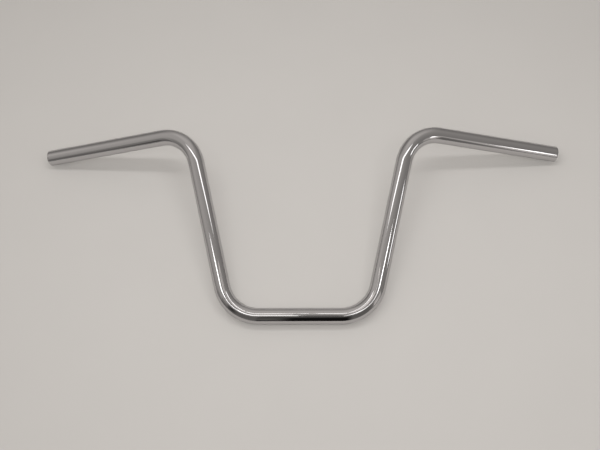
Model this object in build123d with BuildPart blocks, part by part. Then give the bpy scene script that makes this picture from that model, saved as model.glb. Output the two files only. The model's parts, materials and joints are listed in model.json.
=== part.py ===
from build123d import *

import os
from math import asin, atan2, cos, degrees, hypot, radians, sin, sqrt, tan

# Ape hanger handlebar: one steel tube, bent four times and chrome plated.
# It lies as it comes to rest, rider side down. The clamp section and the rims of both grip ends
# touch the floor, and the two upper bends stand clear of it.
# X runs along the clamp section, Y runs up the bar and Z points up from the floor.
# The origin is on the tube's axis at the middle of the clamp section.

# The tube, in millimetres
tube_diameter = 25.4
tube_wall = 2.5
bend_radius = 58.0
rim_round = 0.8
bore_chamfer = 0.4

# The straight stretches, in millimetres
clamp_length = 126.0
upright_length = 204.0
grip_length = 205.0

# How the uprights and grips stand, in degrees
upright_splay = 12.7
grip_pullback = 15.9
grip_droop = 4.6

# Edge work stays within this share of the wall
edge_share = 0.45

tube_radius = tube_diameter / 2
bore_radius = tube_radius - tube_wall
rim_edge = min(rim_round, edge_share * tube_wall)
bore_edge = min(bore_chamfer, edge_share * tube_wall)

# Directions of the right half, seen from the front: X across, Y up the bar, Z towards the front.
# The upright leans outwards. The grip runs outwards, falls away and turns back to the rider.
clamp_direction = Vector(1, 0, 0)
upright_direction = Vector(sin(radians(upright_splay)), cos(radians(upright_splay)), 0)
grip_outward = cos(radians(grip_pullback))
grip_direction = Vector(
    grip_outward * cos(radians(grip_droop)),
    -grip_outward * sin(radians(grip_droop)),
    -sin(radians(grip_pullback)),
)


def bend_tangent(before, after):
    """Length from a corner of the centre line to the start of its bend."""
    return bend_radius * tan(radians(before.get_angle(after)) / 2)


lower_tangent = bend_tangent(clamp_direction, upright_direction)
upper_tangent = bend_tangent(upright_direction, grip_direction)

# Corners of the centre line on the right half, and their mirror images on the left
low_corner = clamp_direction * (clamp_length / 2 + lower_tangent)
top_corner = low_corner + upright_direction * (lower_tangent + upright_length + upper_tangent)
grip_end = top_corner + grip_direction * (upper_tangent + grip_length)
right_half = [low_corner, top_corner, grip_end]
left_half = [Vector(-corner.X, corner.Y, corner.Z) for corner in reversed(right_half)]


def rest_tilt():
    """Turn about the clamp section, in degrees, that brings both end rims down to its floor."""
    rim_centre = grip_end - grip_direction * rim_edge
    reach = hypot(rim_centre.Y, rim_centre.Z)
    lean = atan2(rim_centre.Z, rim_centre.Y)
    settling_steps = 8
    turn = 0.0
    for _ in range(settling_steps):
        slope = grip_direction.Y * sin(turn) + grip_direction.Z * cos(turn)
        rim_drop = (tube_radius - rim_edge) * (1 - sqrt(1 - slope**2))
        turn = asin(-rim_drop / reach) - lean
    return degrees(turn)


# The bar's front plane, laid down on the floor
lying_plane = Plane.XY.rotated((rest_tilt(), 0, 0))
corners = [lying_plane.from_local_coords(corner) for corner in left_half + right_half]

# The whole bar: a ring swept along straight runs and bends, with its two cut ends dressed
with BuildPart() as handlebar_tube:
    with BuildLine() as centre_line:
        FilletPolyline(*corners, radius=bend_radius)
    with BuildSketch(Plane(origin=centre_line.line @ 0, z_dir=centre_line.line % 0)):
        Circle(tube_radius)
        Circle(bore_radius, mode=Mode.SUBTRACT)
    sweep()
    cut_ends = handlebar_tube.faces().filter_by(GeomType.PLANE)
    rim_edges = [face.outer_wire().edge() for face in cut_ends]
    bore_edges = [face.inner_wires()[0].edge() for face in cut_ends]
    fillet(rim_edges, rim_edge)
    chamfer(bore_edges, bore_edge)

handlebar_tube.part.label = "handlebar_tube"

os.makedirs("parts", exist_ok=True)
export_step(handlebar_tube.part, "parts/handlebar_tube.step")

# What the bar measures
box = handlebar_tube.part.bounding_box()
print(f"overall {box.size.X:.1f} x {box.size.Y:.1f} x {box.size.Z:.1f} mm, floor at {box.min.Z:.3f}")
print(f"tube length {centre_line.wire().length:.1f} mm, tilt {rest_tilt():.3f} degrees")
print(f"volume {handlebar_tube.part.volume:.0f} cubic mm")
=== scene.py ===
# %% [markdown]
# # A chrome ape hanger handlebar
# The bar is one steel tube: a straight clamp section, two uprights that lean outwards and two grips that
# turn back to the rider. It lies on a pale sheet, rider side down. The CAD model already gives its size and
# place, so this lesson only adds what CAD leaves out: a smooth skin, the plating, and light for it to mirror.

# %% Load the CAD frame
import json
from math import cos, pi, radians, sin, tan

import bmesh
import bpy
from mathutils import Matrix, Vector


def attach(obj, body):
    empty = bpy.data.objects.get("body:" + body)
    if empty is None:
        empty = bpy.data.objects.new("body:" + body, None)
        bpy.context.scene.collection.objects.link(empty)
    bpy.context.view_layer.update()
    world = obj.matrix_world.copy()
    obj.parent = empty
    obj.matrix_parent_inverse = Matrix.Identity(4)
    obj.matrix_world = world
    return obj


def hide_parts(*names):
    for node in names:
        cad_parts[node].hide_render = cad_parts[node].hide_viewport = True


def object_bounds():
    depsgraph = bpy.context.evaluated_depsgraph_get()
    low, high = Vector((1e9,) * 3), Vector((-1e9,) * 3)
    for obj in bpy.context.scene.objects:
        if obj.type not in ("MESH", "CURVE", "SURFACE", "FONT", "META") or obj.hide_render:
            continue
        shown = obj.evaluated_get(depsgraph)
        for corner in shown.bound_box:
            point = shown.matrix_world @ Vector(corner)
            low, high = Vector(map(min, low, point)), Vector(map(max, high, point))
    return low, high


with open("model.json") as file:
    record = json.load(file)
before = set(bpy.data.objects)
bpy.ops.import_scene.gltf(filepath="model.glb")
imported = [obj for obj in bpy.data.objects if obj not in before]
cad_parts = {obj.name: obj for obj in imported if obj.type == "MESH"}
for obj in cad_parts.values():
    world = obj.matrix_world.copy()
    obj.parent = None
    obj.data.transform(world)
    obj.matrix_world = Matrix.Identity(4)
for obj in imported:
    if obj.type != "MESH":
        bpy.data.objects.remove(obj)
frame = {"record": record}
cad_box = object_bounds()
scene = bpy.context.scene
mounts = {mount["name"]: mount for mount in frame["record"]["mounts"]}
print("mounts on the bar:", ", ".join(mounts))

# %% [markdown]
# ## Writing nodes as arithmetic
# Shaders and geometry trees are graphs of small nodes. Adding each one by hand takes many lines, so one
# class wraps an output socket. Python's own + - * / on it add Math nodes, and its `node` method adds any
# other kind. An expression in the script then reads like the formula that it stands for.

# %% One class for every node tree
class Wire:
    """An output of a node tree that Python arithmetic can be done on."""

    def __init__(self, tree, socket=None):
        self.tree = tree
        self.socket = socket

    def node(self, kind, settings=None, values=None, output=0):
        """Add a node: its settings first, then the values or wires of its sockets."""
        made = self.tree.nodes.new(kind)
        for name, setting in (settings or {}).items():
            setattr(made, name, setting)
        for name, value in (values or {}).items():
            if isinstance(value, Wire):
                self.tree.links.new(value.socket, made.inputs[name])
            else:
                made.inputs[name].default_value = value
        return Wire(self.tree, made.outputs[output] if len(made.outputs) else None)

    def other_output(self, name):
        """Another output of the node that this wire comes from."""
        return Wire(self.tree, self.socket.node.outputs[name])

    def math(self, operation, *values):
        return self.node("ShaderNodeMath", {"operation": operation}, dict(enumerate(values)))

    def vector(self, operation, *values, output=0):
        return self.node("ShaderNodeVectorMath", {"operation": operation}, dict(enumerate(values)), output)

    def scaled(self, factor):
        """A vector times a number."""
        return self.node("ShaderNodeVectorMath", {"operation": "SCALE"}, {0: self, "Scale": factor})

    def part(self, axis):
        """One of a vector's X, Y and Z."""
        return self.node("ShaderNodeSeparateXYZ", None, {0: self}, axis)

    def __add__(self, other):
        return self.math("ADD", self, other)

    def __radd__(self, other):
        return self.math("ADD", other, self)

    def __sub__(self, other):
        return self.math("SUBTRACT", self, other)

    def __rsub__(self, other):
        return self.math("SUBTRACT", other, self)

    def __mul__(self, other):
        return self.math("MULTIPLY", self, other)

    def __rmul__(self, other):
        return self.math("MULTIPLY", other, self)

    def __truediv__(self, other):
        return self.math("DIVIDE", self, other)

    def __rtruediv__(self, other):
        return self.math("DIVIDE", other, self)

    def __gt__(self, other):
        return self.math("GREATER_THAN", self, other)

    def __lt__(self, other):
        return self.math("LESS_THAN", self, other)


print("a wire's methods:", ", ".join(name for name in vars(Wire) if not name.startswith("_")))

# %% [markdown]
# ## The centre line
# A tube bender works from corner points and one bending radius. The packed mounts say where the clamp
# section ends and where each grip starts, and in which direction. The two corners of a half follow: each
# lies ahead of its straight by a tangent length, which depends on the turn, so a few rounds settle them.

# %% Sizes of the tube
clamp = mounts["clamp_section"]
seat = mounts["right_grip_seat"]
bore = mounts["right_bar_end_bore"]
metres = 0.001
tube_radius = seat["dims"]["r_mm"] * metres
bore_radius = bore["dims"]["r_mm"] * metres
bend_radius = 0.058
rim_round = 0.0008
bore_edge = 0.0004
print(f"tube {2 * tube_radius / metres:.1f} mm outside, {2 * bore_radius / metres:.1f} mm inside")

# %% Corners of the centre line
across = Vector(clamp["axis"])
outward = Vector(seat["axis"])
clamp_end = Vector(clamp["pos_m"]) + across * clamp["dims"]["length_mm"] * metres / 2
half_seat = seat["dims"]["length_mm"] * metres / 2
grip_start = Vector(seat["pos_m"]) - outward * half_seat
grip_end = Vector(seat["pos_m"]) + outward * (half_seat + rim_round)

settling_rounds = 20
low_tangent = bend_radius
top_tangent = bend_radius
for _ in range(settling_rounds):
    low_corner = clamp_end + across * low_tangent
    top_corner = grip_start - outward * top_tangent
    rise = (top_corner - low_corner).normalized()
    low_tangent = bend_radius * tan(across.angle(rise) / 2)
    top_tangent = bend_radius * tan(rise.angle(outward) / 2)

right_half = [low_corner, top_corner, grip_end]
left_half = [Vector((-corner.x, corner.y, corner.z)) for corner in reversed(right_half)]
corners = left_half + right_half
print("corners in mm:", [tuple(round(c / metres, 1) for c in corner) for corner in right_half])

# %% [markdown]
# ## The tube as a Geometry Nodes tree
# A plain Curve to Mesh gives a skin with no wall. Here the wall's own outline, a long thin rectangle of
# distance along the bar against distance from its axis, is drawn first and its corners are rounded.
# Sweeping a circle round that closed outline gives a closed ring of faces, and Set Position then rolls
# every point onto the bent centre line. The outside, both rims and the bore come out as one closed skin.

# %% A group with named inputs
tube_tree = bpy.data.node_groups.new("bent_tube", "GeometryNodeTree")
input_kinds = {
    "Corners": "NodeSocketGeometry",
    "Bend Radius": "NodeSocketFloat",
    "Tube Radius": "NodeSocketFloat",
    "Bore Radius": "NodeSocketFloat",
    "Rim Round": "NodeSocketFloat",
    "Bore Edge": "NodeSocketFloat",
    "Sides": "NodeSocketInt",
    "Stations": "NodeSocketInt",
    "Finish": "NodeSocketMaterial",
}
tube_inputs = {}
for name, kind in input_kinds.items():
    tube_inputs[name] = tube_tree.interface.new_socket(name=name, in_out="INPUT", socket_type=kind)
tube_tree.interface.new_socket(name="Tube", in_out="OUTPUT", socket_type="NodeSocketGeometry")
print("tube tree inputs:", ", ".join(tube_inputs))

# %% The bent centre line, inside the tree
start = Wire(tube_tree)
group_in = tube_tree.nodes.new("NodeGroupInput")
given = {name: Wire(tube_tree, group_in.outputs[name]) for name in tube_inputs}


def rounded(curve, points, radius):
    """Round the corners of a curve."""
    return start.node(
        "GeometryNodeFilletCurve",
        {"mode": "POLY"},
        {"Curve": curve, "Count": points, "Radius": radius},
    )


points_in_bend = 96
corner_line = start.node("GeometryNodeMeshToCurve", None, {"Mesh": given["Corners"]})
centre_line = rounded(corner_line, points_in_bend, given["Bend Radius"])
bar_length = start.node("GeometryNodeCurveLength", None, {"Curve": centre_line})
print("points in each bend:", points_in_bend)

# %% The wall's outline, inside the tree
def place(x, y):
    return start.node("ShaderNodeCombineXYZ", None, {"X": x, "Y": y})


wall_corners = start.node(
    "GeometryNodeCurvePrimitiveQuadrilateral",
    {"mode": "POINTS"},
    {
        "Point 1": place(0.0, given["Bore Radius"]),
        "Point 2": place(bar_length, given["Bore Radius"]),
        "Point 3": place(bar_length, given["Tube Radius"]),
        "Point 4": place(0.0, given["Tube Radius"]),
    },
)
points_in_rim = 7
mid_wall = (given["Tube Radius"] + given["Bore Radius"]) / 2
spot = start.node("GeometryNodeInputPosition")
outside = spot.part("Y") > mid_wall
edge_round = given["Bore Edge"] + outside * (given["Rim Round"] - given["Bore Edge"])
wall_outline = rounded(wall_corners, points_in_rim, edge_round)
print("points in each rounded rim:", points_in_rim)

# %% Stations along the two long sides of the outline
next_point = start.node("GeometryNodeOffsetPointInCurve", None, {"Offset": 1}, "Point Index")
next_spot = start.node(
    "GeometryNodeFieldAtIndex",
    {"data_type": "FLOAT_VECTOR", "domain": "POINT"},
    {"Value": spot, "Index": next_point},
)
step = start.vector("DISTANCE", spot, next_spot, output="Value")
wall_stations = start.node(
    "GeometryNodeSubdivideCurve",
    None,
    {"Curve": wall_outline, "Cuts": (step > bar_length / 2) * given["Stations"]},
)
print("tube tree nodes so far:", len(tube_tree.nodes))

# %% Sweeping a circle round the outline
def store(geometry, name, kind, value):
    """Store a value on the points of a geometry, for later nodes and for the finish."""
    return start.node(
        "GeometryNodeStoreNamedAttribute",
        {"data_type": kind, "domain": "POINT"},
        {"Geometry": geometry, "Name": name, "Value": value},
    )


def stored(name, kind):
    return start.node("GeometryNodeInputNamedAttribute", {"data_type": kind}, {"Name": name})


full_turn = 2 * pi
point_number = start.node("GeometryNodeInputIndex")
ring = start.node("GeometryNodeCurvePrimitiveCircle", None, {"Resolution": given["Sides"]})
ring = store(ring, "turn", "FLOAT", point_number * full_turn / given["Sides"])
sweep_line = store(wall_stations, "wall_place", "FLOAT_VECTOR", spot)
skin = start.node("GeometryNodeCurveToMesh", None, {"Curve": sweep_line, "Profile Curve": ring})
print("stored on the skin: wall_place and turn")

# %% Rolling the skin onto the centre line
along = stored("wall_place", "FLOAT_VECTOR").part("X")
off_axis = stored("wall_place", "FLOAT_VECTOR").part("Y")
turn = stored("turn", "FLOAT")
on_line = start.node(
    "GeometryNodeSampleCurve",
    {"mode": "LENGTH"},
    {"Curves": centre_line, "Length": along},
    "Position",
)
normal = on_line.other_output("Normal")
sideways = start.vector("CROSS_PRODUCT", on_line.other_output("Tangent"), normal)
ahead = turn.math("COSINE", turn)
aside = turn.math("SINE", turn)
spoke = start.vector("ADD", normal.scaled(ahead), sideways.scaled(aside))
skin = start.node(
    "GeometryNodeSetPosition",
    None,
    {"Geometry": skin, "Position": start.vector("ADD", on_line, spoke.scaled(off_axis))},
)
skin = store(skin, "bore", "FLOAT", off_axis < mid_wall)
skin = store(skin, "spoke", "FLOAT_VECTOR", place(ahead, aside))
print("stored for the finish: bore and spoke")

# %% The end of the tree
skin = start.node("GeometryNodeFlipFaces", None, {"Mesh": skin})
skin = start.node("GeometryNodeSetShadeSmooth", None, {"Geometry": skin})
skin = start.node("GeometryNodeRealizeInstances", None, {"Geometry": skin})
skin = start.node("GeometryNodeSetMaterial", None, {"Geometry": skin, "Material": given["Finish"]})
start.node("NodeGroupOutput", None, {"Tube": skin})
print("tube tree nodes:", len(tube_tree.nodes))

# %% [markdown]
# ## Bright chrome
# Chrome plate is a thin mirror on polished steel. It throws back a little over half of the light, almost
# without colour, and its looks come from what it mirrors. A real bar is never a perfect mirror: the polishing
# wheel leaves faint lines round the tube, the plate has a slight wave, and hands leave soft patches. The
# cut ends and the bore are bare, dull steel. One material holds both, mixed by the `bore` value on the skin.

# %% Helpers for finishes
def empty_finish(name):
    """A material with no nodes yet, and the wire that its nodes start from."""
    finish = bpy.data.materials.new(name)
    finish.use_nodes = True
    finish.node_tree.nodes.clear()
    return finish, Wire(finish.node_tree)


def surface(shader):
    """End a material's tree in this shader."""
    shader.node("ShaderNodeOutputMaterial", None, {"Surface": shader})


def noise(where, scale, detail=2.0):
    return where.node("ShaderNodeTexNoise", None, {"Vector": where, "Scale": scale, "Detail": detail}, "Fac")


# A Mix node has sockets for each kind of value. These are the places of its colour sockets.
colour_first = 6
colour_second = 7
colour_result = 2


def mixed(share, first, second):
    """A colour between two colours."""
    values = {"Factor": share, colour_first: first, colour_second: second}
    return share.node("ShaderNodeMix", {"data_type": "RGBA"}, values, colour_result)


def toned(colour, strength=1.0):
    """A colour made lighter or darker, as a socket takes it."""
    return (*(c * strength for c in colour), 1)


chrome, paint = empty_finish("chrome_plate")
print("finish:", chrome.name)

# %% Marks in the plating
here = paint.node("ShaderNodeTexCoord", None, None, "Object")
run = paint.node("ShaderNodeAttribute", {"attribute_name": "wall_place"}, None, "Vector").part("X")
spoke = paint.node("ShaderNodeAttribute", {"attribute_name": "spoke"}, None, "Vector")
line_crowding = 60.0
line_stretch = 0.05
round_tube = paint.node(
    "ShaderNodeCombineXYZ",
    None,
    {
        "X": run * line_crowding,
        "Y": spoke.part("X") * line_stretch,
        "Z": spoke.part("Y") * line_stretch,
    },
)
wheel_lines = noise(round_tube, scale=18.0)
handled = noise(here, scale=14.0)
haze = noise(here, scale=220.0)
wave = noise(here, scale=55.0, detail=1.0)
print("chrome nodes so far:", len(chrome.node_tree.nodes))

# %% The plating
chrome_colour = (0.573, 0.562, 0.567)
steel_colour = (0.30, 0.285, 0.27)
faint_change = 0.015
mirror_rough = 0.028
steel_rough = 0.38

# Each mark roughens the mirror by its own small share.
in_bore = paint.node("ShaderNodeAttribute", {"attribute_name": "bore"}, None, "Fac")
plate_rough = mirror_rough + handled * 0.03 + haze * 0.012 + wheel_lines * 0.014
bare_rough = steel_rough + haze * 0.15
tint = mixed(handled, toned(chrome_colour, 1 - faint_change), toned(chrome_colour, 1 + faint_change))
dull = mixed(haze, toned(steel_colour, strength=0.8), toned(steel_colour))
relief = paint.node("ShaderNodeBump", None, {"Strength": 0.04, "Distance": 0.0004, "Height": wave})
plate = paint.node(
    "ShaderNodeBsdfPrincipled",
    None,
    {
        "Base Color": mixed(in_bore, tint, dull),
        "Metallic": 1.0,
        "Roughness": plate_rough + in_bore * (bare_rough - plate_rough),
        "Specular Tint": (0.7, 0.7, 0.7, 1),
        "Normal": relief,
    },
)
surface(plate)
print("chrome nodes:", len(chrome.node_tree.nodes))

# %% [markdown]
# ## The tube itself
# The tree runs once, on a mesh of six corner points, and its result becomes a plain mesh. The exported part
# has to stand without modifiers, and a plain mesh can be measured: a closed skin has no open edges, and its
# volume is the steel's. The tube then takes the place of the CAD solid.

# %% Run the tree
line_mesh = bpy.data.meshes.new("centre_line")
line_mesh.from_pydata(corners, [(i, i + 1) for i in range(len(corners) - 1)], [])
line_object = bpy.data.objects.new("centre_line", line_mesh)
scene.collection.objects.link(line_object)
bender = line_object.modifiers.new("bent_tube", "NODES")
bender.node_group = tube_tree
sizes = {
    "Bend Radius": bend_radius,
    "Tube Radius": tube_radius,
    "Bore Radius": bore_radius,
    "Rim Round": rim_round,
    "Bore Edge": bore_edge,
    "Sides": 80,
    "Stations": 440,
    "Finish": chrome,
}
for name, value in sizes.items():
    bender[tube_inputs[name].identifier] = value

depsgraph = bpy.context.evaluated_depsgraph_get()
tube_mesh = bpy.data.meshes.new_from_object(line_object.evaluated_get(depsgraph))
tube_mesh.name = "chrome_tube"
line_object.modifiers.remove(bender)
bpy.data.objects.remove(line_object)
print("tube faces:", len(tube_mesh.polygons))

# %% Put the tube in the frame
tube = bpy.data.objects.new("chrome_tube", tube_mesh)
scene.collection.objects.link(tube)

solid = bmesh.new()
solid.from_mesh(tube_mesh)
volume = solid.calc_volume(signed=True)
open_edges = sum(1 for edge in solid.edges if not edge.is_manifold)
solid.free()
print(f"volume {volume / metres**3:.0f} cubic mm, open edges {open_edges}")

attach(tube, "root")
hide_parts("handlebar_tube")

# %% [markdown]
# ## The sheet it lies on
# The bar lies on a pale matt sheet. The sheet matters twice: it is the picture's background, and the lower
# half of every tube mirrors it. A faint unevenness keeps it from looking like a flat fill. The lamps hang
# over the bar alone, so further out the sheet would fall into the dark. There it shows its own tone instead,
# to the eye and to mirrors only, and fades into the room at its edge. Near the bar it stays a lit surface,
# because it has to hold the bar's shadow.

# %% Floor
sheet_radius = 9.0
sheet_sides = 120
floor_level = cad_box[0][2]

floor_mesh = bpy.data.meshes.new("sheet")
bearings = [full_turn * side / sheet_sides for side in range(sheet_sides)]
sheet_edge = [(sheet_radius * cos(a), sheet_radius * sin(a), floor_level) for a in bearings]
floor_mesh.from_pydata(sheet_edge, [], [tuple(range(sheet_sides))])
floor = bpy.data.objects.new("sheet", floor_mesh)
scene.collection.objects.link(floor)
print(f"sheet at {floor_level / metres:.2f} mm")

# %% The lit sheet
floor_colour = (0.575, 0.555, 0.533)
sheet_finish, paint = empty_finish("pale_sheet")
floor_mesh.materials.append(sheet_finish)
here = paint.node("ShaderNodeTexCoord", None, None, "Object")
mottle = noise(here, scale=9.0, detail=3.0)
pale = mixed(mottle, toned(floor_colour, 1 - faint_change), toned(floor_colour, 1 + faint_change))
matt = paint.node(
    "ShaderNodeBsdfPrincipled",
    None,
    {"Base Color": pale, "Roughness": 0.9, "Specular IOR Level": 0.15},
)
print("sheet nodes so far:", len(sheet_finish.node_tree.nodes))

# %% The sheet's own tone further out
def soft(value, low, high):
    """0 below low, 1 above high, and a smooth rise between them."""
    return value.node(
        "ShaderNodeMapRange",
        {"interpolation_type": "SMOOTHSTEP"},
        {"Value": value, "From Min": low, "From Max": high},
    )


bar_middle = (0.0, 0.2, floor_level)
lit_radius = 0.72
unlit_radius = 1.2
fade_start = 1.5
fade_end = 8.5
sheet_tone = toned(floor_colour, strength=0.79)
room_tone = (0.273, 0.26, 0.247, 1)

away = paint.vector("DISTANCE", here, bar_middle, output="Value")
to_eye = paint.node("ShaderNodeLightPath", None, None, "Is Camera Ray")
further_out = soft(away, lit_radius, unlit_radius) * (to_eye + to_eye.other_output("Is Glossy Ray"))
faded = mixed(soft(away, fade_start, fade_end), sheet_tone, room_tone)
tone = paint.node("ShaderNodeEmission", None, {"Color": faded})
surface(paint.node("ShaderNodeMixShader", None, {0: further_out, 1: matt, 2: tone}))
print("sheet nodes:", len(sheet_finish.node_tree.nodes))

# %% [markdown]
# ## Light for a mirror
# A mirror shows the lights themselves, so their shapes matter more than their strength. Two long strips hang
# end to end beyond the bar, and short ones hang before it in an arc on each side of the camera: they draw the
# thin white lines on the uprights, the clamp section and the bends. Each arc bulges towards the viewer, which
# carries its line round a lower bend. Two panels stand low at the right. Mirrors don't show the two fills,
# which bring the sheet to its plain level. One, beside the far strips, throws the grips' shadows. The other
# is wide and throws none, which stands in for light that comes back from every wall.

# %% How a lamp is made
def lamp(name, middle, along, facing, size, radiance, in_mirrors=True):
    """A flat lamp of one brightness, with its long side along a direction."""
    light = bpy.data.lights.new(name, "AREA")
    light.shape = "RECTANGLE"
    light.size, light.size_y = size
    light.normalize = False
    light.energy = pi * radiance
    made = bpy.data.objects.new(name, light)
    back = -Vector(facing).normalized()
    long_side = Vector(along).normalized()
    axes = Matrix((long_side, back.cross(long_side), back)).transposed()
    made.matrix_world = Matrix.Translation(middle) @ axes.to_4x4()
    made.visible_camera = False
    made.visible_glossy = in_mirrors
    scene.collection.objects.link(made)
    return made


down = Vector((0, 0, -1))


def strip(name, first, last, height, width, radiance, in_mirrors=True):
    """A strip light over the bar, between two points of the plan."""
    ends = [Vector((*point, height)) for point in (first, last)]
    span = ends[1] - ends[0]
    return lamp(name, (ends[0] + ends[1]) / 2, span, down, (span.length, width), radiance, in_mirrors)


print("strips face", tuple(down))

# %% Strips
far_height = 1.5
far_width = 0.13
strip("far_strip_left", (-0.92, 0.46), (-0.015, 0.44), far_height, far_width, radiance=2.0)
strip("far_strip_right", (0.015, 0.44), (0.80, 0.42), far_height, far_width, radiance=2.0)

near_height = 1.0
outer_width = 0.11
strip("near_strip_left", (-0.54, -0.015), (-0.31, -0.15), near_height, outer_width, radiance=4.0)
arc_width = 0.09
arc_radiance = 2.2
arcs = {
    "near_strip_middle": [(-0.03, -0.165), (-0.16, -0.165), (-0.23, -0.26), (-0.30, -0.27), (-0.36, -0.19)],
    "near_strip_right": [(0.13, -0.25), (0.22, -0.34), (0.36, -0.385), (0.48, -0.34), (0.47, -0.20)],
}
for name, points in arcs.items():
    for number, (first, last) in enumerate(zip(points, points[1:])):
        strip(f"{name}_{number}", first, last, near_height, arc_width, arc_radiance)
strip("near_strip_outer", (0.42, -0.19), (0.61, 0.0), near_height, outer_width, radiance=5.0)

# %% Panels and fills
lamp(
    "side_panel",
    middle=(1.2, 0.06, 0.385),
    along=(0, 1, 0),
    facing=(-1, 0, 0),
    size=(0.23, 0.17),
    radiance=2.4,
)
lamp(
    "corner_panel",
    middle=(1.15, -0.53, 0.62),
    along=(0.73, 0.68, 0),
    facing=(-0.60, 0.65, -0.43),
    size=(0.22, 0.16),
    radiance=3.0,
)
strip("far_fill", (-0.92, 0.50), (0.80, 0.50), far_height, far_width, radiance=6.2, in_mirrors=False)
soft_fill = lamp(
    "soft_fill",
    middle=(-0.03, -0.1, 1.3),
    along=(1, 0, 0),
    facing=down,
    size=(1.6, 1.3),
    radiance=1.25,
    in_mirrors=False,
)
soft_fill.data.use_shadow = False
soft_fill.data.cycles.use_multiple_importance_sampling = False

# %% [markdown]
# ## Dark and pale cards
# Chrome needs something dark to mirror, or it looks like grey paint. A wide dark card stands before the bar.
# It is black round the camera and lighter towards its ends, so the dark bands on the tube end softly. A pale
# card goes on from it at the right, a small black one hangs at the lens, and low skirts close the set on the
# other sides. Their levels are formulas of place, as a card's edge is never sharp in a mirror this curved.
# Only mirrors show the cards: they throw no light or shadow.

# %% How a card is made
room_tint = (1.05, 1.0, 0.95, 1)


def card(name, points, finish):
    """A flat card that only mirrors show."""
    mesh = bpy.data.meshes.new(name)
    mesh.from_pydata(points, [], [tuple(range(len(points)))])
    mesh.materials.append(finish)
    made = bpy.data.objects.new(name, mesh)
    scene.collection.objects.link(made)
    made.visible_camera = False
    made.visible_diffuse = False
    made.visible_shadow = False
    return made


def upright_card(name, left, right, y, top, finish):
    """A card that stands on the floor across the view."""
    points = [(left, y, floor_level), (right, y, floor_level), (right, y, top), (left, y, top)]
    return card(name, points, finish)


def grey(level):
    """A colour from one level, as warm as the room."""
    return mixed(level, (0, 0, 0, 1), room_tint)


def plain_glow(name, colour, strength=1.0):
    """A finish that glows evenly."""
    finish, wire = empty_finish(name)
    surface(wire.node("ShaderNodeEmission", None, {"Color": colour, "Strength": strength}))
    return finish


def zone(value, rise_from, rise_to, fall_from, fall_to):
    """A stretch with soft ends: 1 from rise_to to fall_from, and 0 outside the other two."""
    return soft(value, rise_from, rise_to) * (1 - soft(value, fall_from, fall_to))


print("cards glow in the room's tint:", room_tint[:3])

# %% The dark card
dark_finish, paint = empty_finish("dark_card")
on_card = paint.node("ShaderNodeTexCoord", None, None, "Object")
card_x = on_card.part("X")
card_z = on_card.part("Z")

# Zones of the card, in metres across and up
black_middle = zone(card_x, -0.10, -0.03, 0.15, 0.28) * (1 - soft(card_z, 0.45, 1.0) * 0.6)
left_of_middle = zone(card_x, -0.17, -0.12, -0.10, -0.03)
far_left = zone(card_x, -0.86, -0.74, -0.62, -0.45) * soft(card_z, 0.15, 0.35)
edges = soft(card_x, 0.6, 0.95) + (1 - soft(card_x, -1.5, -1.25)) + soft(card_z, 0.9, 1.15)
upper_left = (1 - soft(card_x, -0.85, -0.6)) * soft(card_z, 0.25, 0.65)
stripe = left_of_middle * zone(card_z, 0.12, 0.22, 0.45, 0.58)
near_floor = 1 - soft(card_z, 0.02, 0.18)

# How much each zone darkens or lightens it
card_level = 0.15
dark_level = card_level * (1 - black_middle * 0.95) * (1 - left_of_middle * 0.6) * (1 - far_left * 0.65)
dark_level = dark_level + edges * 0.15 + upper_left * 0.12 + stripe * 0.06
dark_level = dark_level + near_floor * 0.10 * (1 - black_middle) * (1 - left_of_middle)
surface(paint.node("ShaderNodeEmission", None, {"Color": grey(dark_level)}))
upright_card("dark_card", left=-1.5, right=0.84, y=-0.56, top=1.15, finish=dark_finish)
print("dark card nodes:", len(dark_finish.node_tree.nodes))

# %% The pale card, the lens card and the skirts
pale_finish, paint = empty_finish("pale_card")
on_card = paint.node("ShaderNodeTexCoord", None, None, "Object")
card_x = on_card.part("X")
card_z = on_card.part("Z")
lit_across = zone(card_x, 0.80, 0.92, 1.75, 1.95) * (1 - soft(card_x, 1.2, 1.4) * 0.4)
lit_up = zone(card_z, 0.0, 0.1, 0.80, 1.1) * (1 - soft(card_z, 0.5, 0.65) * 0.4)
surface(paint.node("ShaderNodeEmission", None, {"Color": grey(0.26 + lit_across * lit_up * 0.42)}))
upright_card("pale_card", left=0.80, right=1.95, y=-0.57, top=1.1, finish=pale_finish)

lens_height = 1.18
lens_points = [(-0.04, -0.52), (0.11, -0.52), (0.11, -0.27), (-0.04, -0.27)]
lens_finish = plain_glow("lens_card", (0.03, 0.03, 0.03, 1))
card("lens_card", [(*point, lens_height) for point in lens_points], lens_finish)

skirt_top = 0.10
skirt_finish = plain_glow("skirt", (0.26, 0.25, 0.24, 1))
skirts = {
    "left_skirt": ((-0.75, -0.56), (-0.75, 0.85)),
    "far_skirt": ((-0.75, 0.85), (0.75, 0.85)),
    "right_skirt": ((0.75, 0.85), (0.75, -0.56)),
}
for name, (first, last) in skirts.items():
    low_edge = [(*first, floor_level), (*last, floor_level)]
    top_edge = [(*last, skirt_top), (*first, skirt_top)]
    card(name, low_edge + top_edge, skirt_finish)
print("cards: dark before the bar, pale at its right end, black round the lens, and", ", ".join(skirts))

# %% [markdown]
# ## Small cards close to the tube
# A bent tube is never quite round in its bends, so what it mirrors there is broader and lies a little off. To
# change the shape for that would change the part, so small pale cards hang low over the tube instead. One
# fills the space between the two lines on the left of the clamp section, and narrow bands do the same in the
# two lower bends. So close to the tube, the uprights hardly show them. A grey shield keeps the corner panel
# out of the lower right bend, where it would draw a hard white dot.

# %% Low card and bands
low_height = 0.3
low_points = [(-0.088, -0.025), (-0.02, -0.025), (-0.02, 0.06), (-0.088, 0.03)]
low_finish = plain_glow("low_card", room_tint, strength=0.7)
card("low_card", [(*point, low_height) for point in low_points], low_finish)

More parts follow.
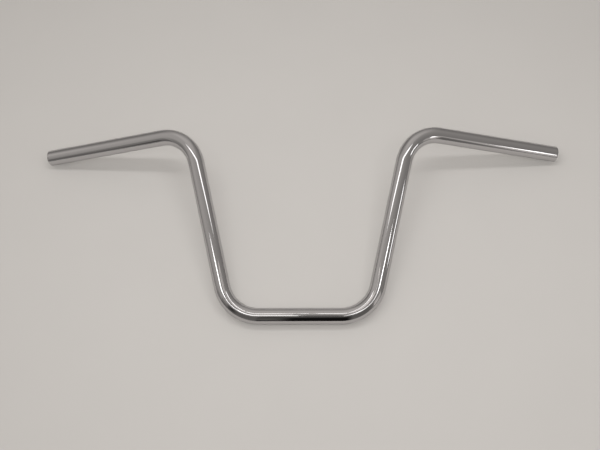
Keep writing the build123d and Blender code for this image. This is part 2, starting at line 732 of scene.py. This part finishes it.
half_band = 0.006
bands = {
    "left_band": ([(-0.086, 0.032), (-0.066, 0.056), (-0.045, 0.070), (-0.01, 0.092)], 1.0),
    "right_band": ([(0.098, -0.012), (0.075, 0.02)], 0.9),
    "right_glint": ([(0.075, 0.02), (0.045, 0.05), (-0.02, 0.085)], 1.1),
}
for name, (points, strength) in bands.items():
    band_finish = plain_glow(name, room_tint, strength)
    ends = [Vector((*point, low_height)) for point in points]
    for number, (first, last) in enumerate(zip(ends, ends[1:])):
        edge = (last - first).cross(down).normalized() * half_band
        card(f"{name}_{number}", [first - edge, last - edge, last + edge, first + edge], band_finish)
print("bands:", ", ".join(bands))

# %% Shield
half_shield = 0.04
shield_middle = Vector((0.305, -0.075, 0.127))
shield_along = Vector((0.474, 0.880, 0.0)) * half_shield
shield_rise = Vector((-0.41, 0.22, 0.886)) * half_shield
shield_turns = [(-1, -1), (1, -1), (1, 1), (-1, 1)]
shield_points = [shield_middle + shield_along * a + shield_rise * b for a, b in shield_turns]
card("shield", shield_points, plain_glow("shield", room_tint, strength=0.6))
print(f"shield of {2 * half_shield / metres:.0f} mm")

# %% [markdown]
# ## The room
# Everything further away is the world: a grey room, dim near the floor and at the right, and lightest halfway
# up at the left and straight beyond the bar. A formula of the direction is enough for it, because the tube
# squeezes the whole room into bands a few millimetres wide.

# %% Soft grey room
world = bpy.data.worlds.new("surroundings")
scene.world = world
world.use_nodes = True
world.node_tree.nodes.clear()
paint = Wire(world.node_tree)
heading = paint.node("ShaderNodeTexCoord", None, None, "Generated")
east = heading.part("X")
north = heading.part("Y")
up = heading.part("Z")
high = soft(up, 0.3, 0.75)
straight_ahead = 1 - soft(east.math("ABSOLUTE", east), 0.2, 0.5)
beyond = soft(north, 0.0, 0.4) * straight_ahead * soft(up, 0.0, 0.12)
glow_heading = (-0.92, 0.195, 0.342)
left_glow = soft(paint.vector("DOT_PRODUCT", heading, glow_heading, output="Value"), 0.88, 0.99)
room_level = 0.26 + beyond * 0.13 + left_glow * 0.17 + high * (0.13 - east * 0.14 + north * 0.08)
backdrop = paint.node("ShaderNodeBackground", None, {"Color": grey(room_level)})
paint.node("ShaderNodeOutputWorld", None, {"Surface": backdrop})
print("room nodes:", len(world.node_tree.nodes))

# %% [markdown]
# ## The camera
# The camera looks down at the bar from the clamp side. Its place was found by matching the tube's outline,
# and its focal length by how much the near tube looks thicker than the far one.

# %% Where the camera stands
view_elevation = radians(63.85)
view_pan = radians(-3.44)
view_roll = radians(-3.43)
view_distance = 1.348
view_target = Vector((-0.0008, 0.1546, 0.0))

towards_camera = Vector(
    (-sin(view_pan) * cos(view_elevation), -cos(view_pan) * cos(view_elevation), sin(view_elevation))
)
level_right = (-towards_camera).cross(-down).normalized()
level_up = level_right.cross(-towards_camera)
camera_right = level_right * cos(view_roll) + level_up * sin(view_roll)
camera_up = level_up * cos(view_roll) - level_right * sin(view_roll)
camera_axes = Matrix((camera_right, camera_up, towards_camera)).transposed()
camera_place = view_target + towards_camera * view_distance
print("camera at", tuple(round(c, 3) for c in camera_place))

# %% Camera
picture_width = 600
focal_pixels = 841.0
lens = bpy.data.cameras.new("camera")
lens.sensor_width = 36.0
lens.sensor_fit = "HORIZONTAL"
lens.lens = focal_pixels / picture_width * lens.sensor_width
camera = bpy.data.objects.new("camera", lens)
camera.matrix_world = Matrix.Translation(camera_place) @ camera_axes.to_4x4()
scene.collection.objects.link(camera)
scene.camera = camera
scene.view_settings.view_transform = "Standard"
print(f"lens {lens.lens:.1f} mm")

# %% [markdown]
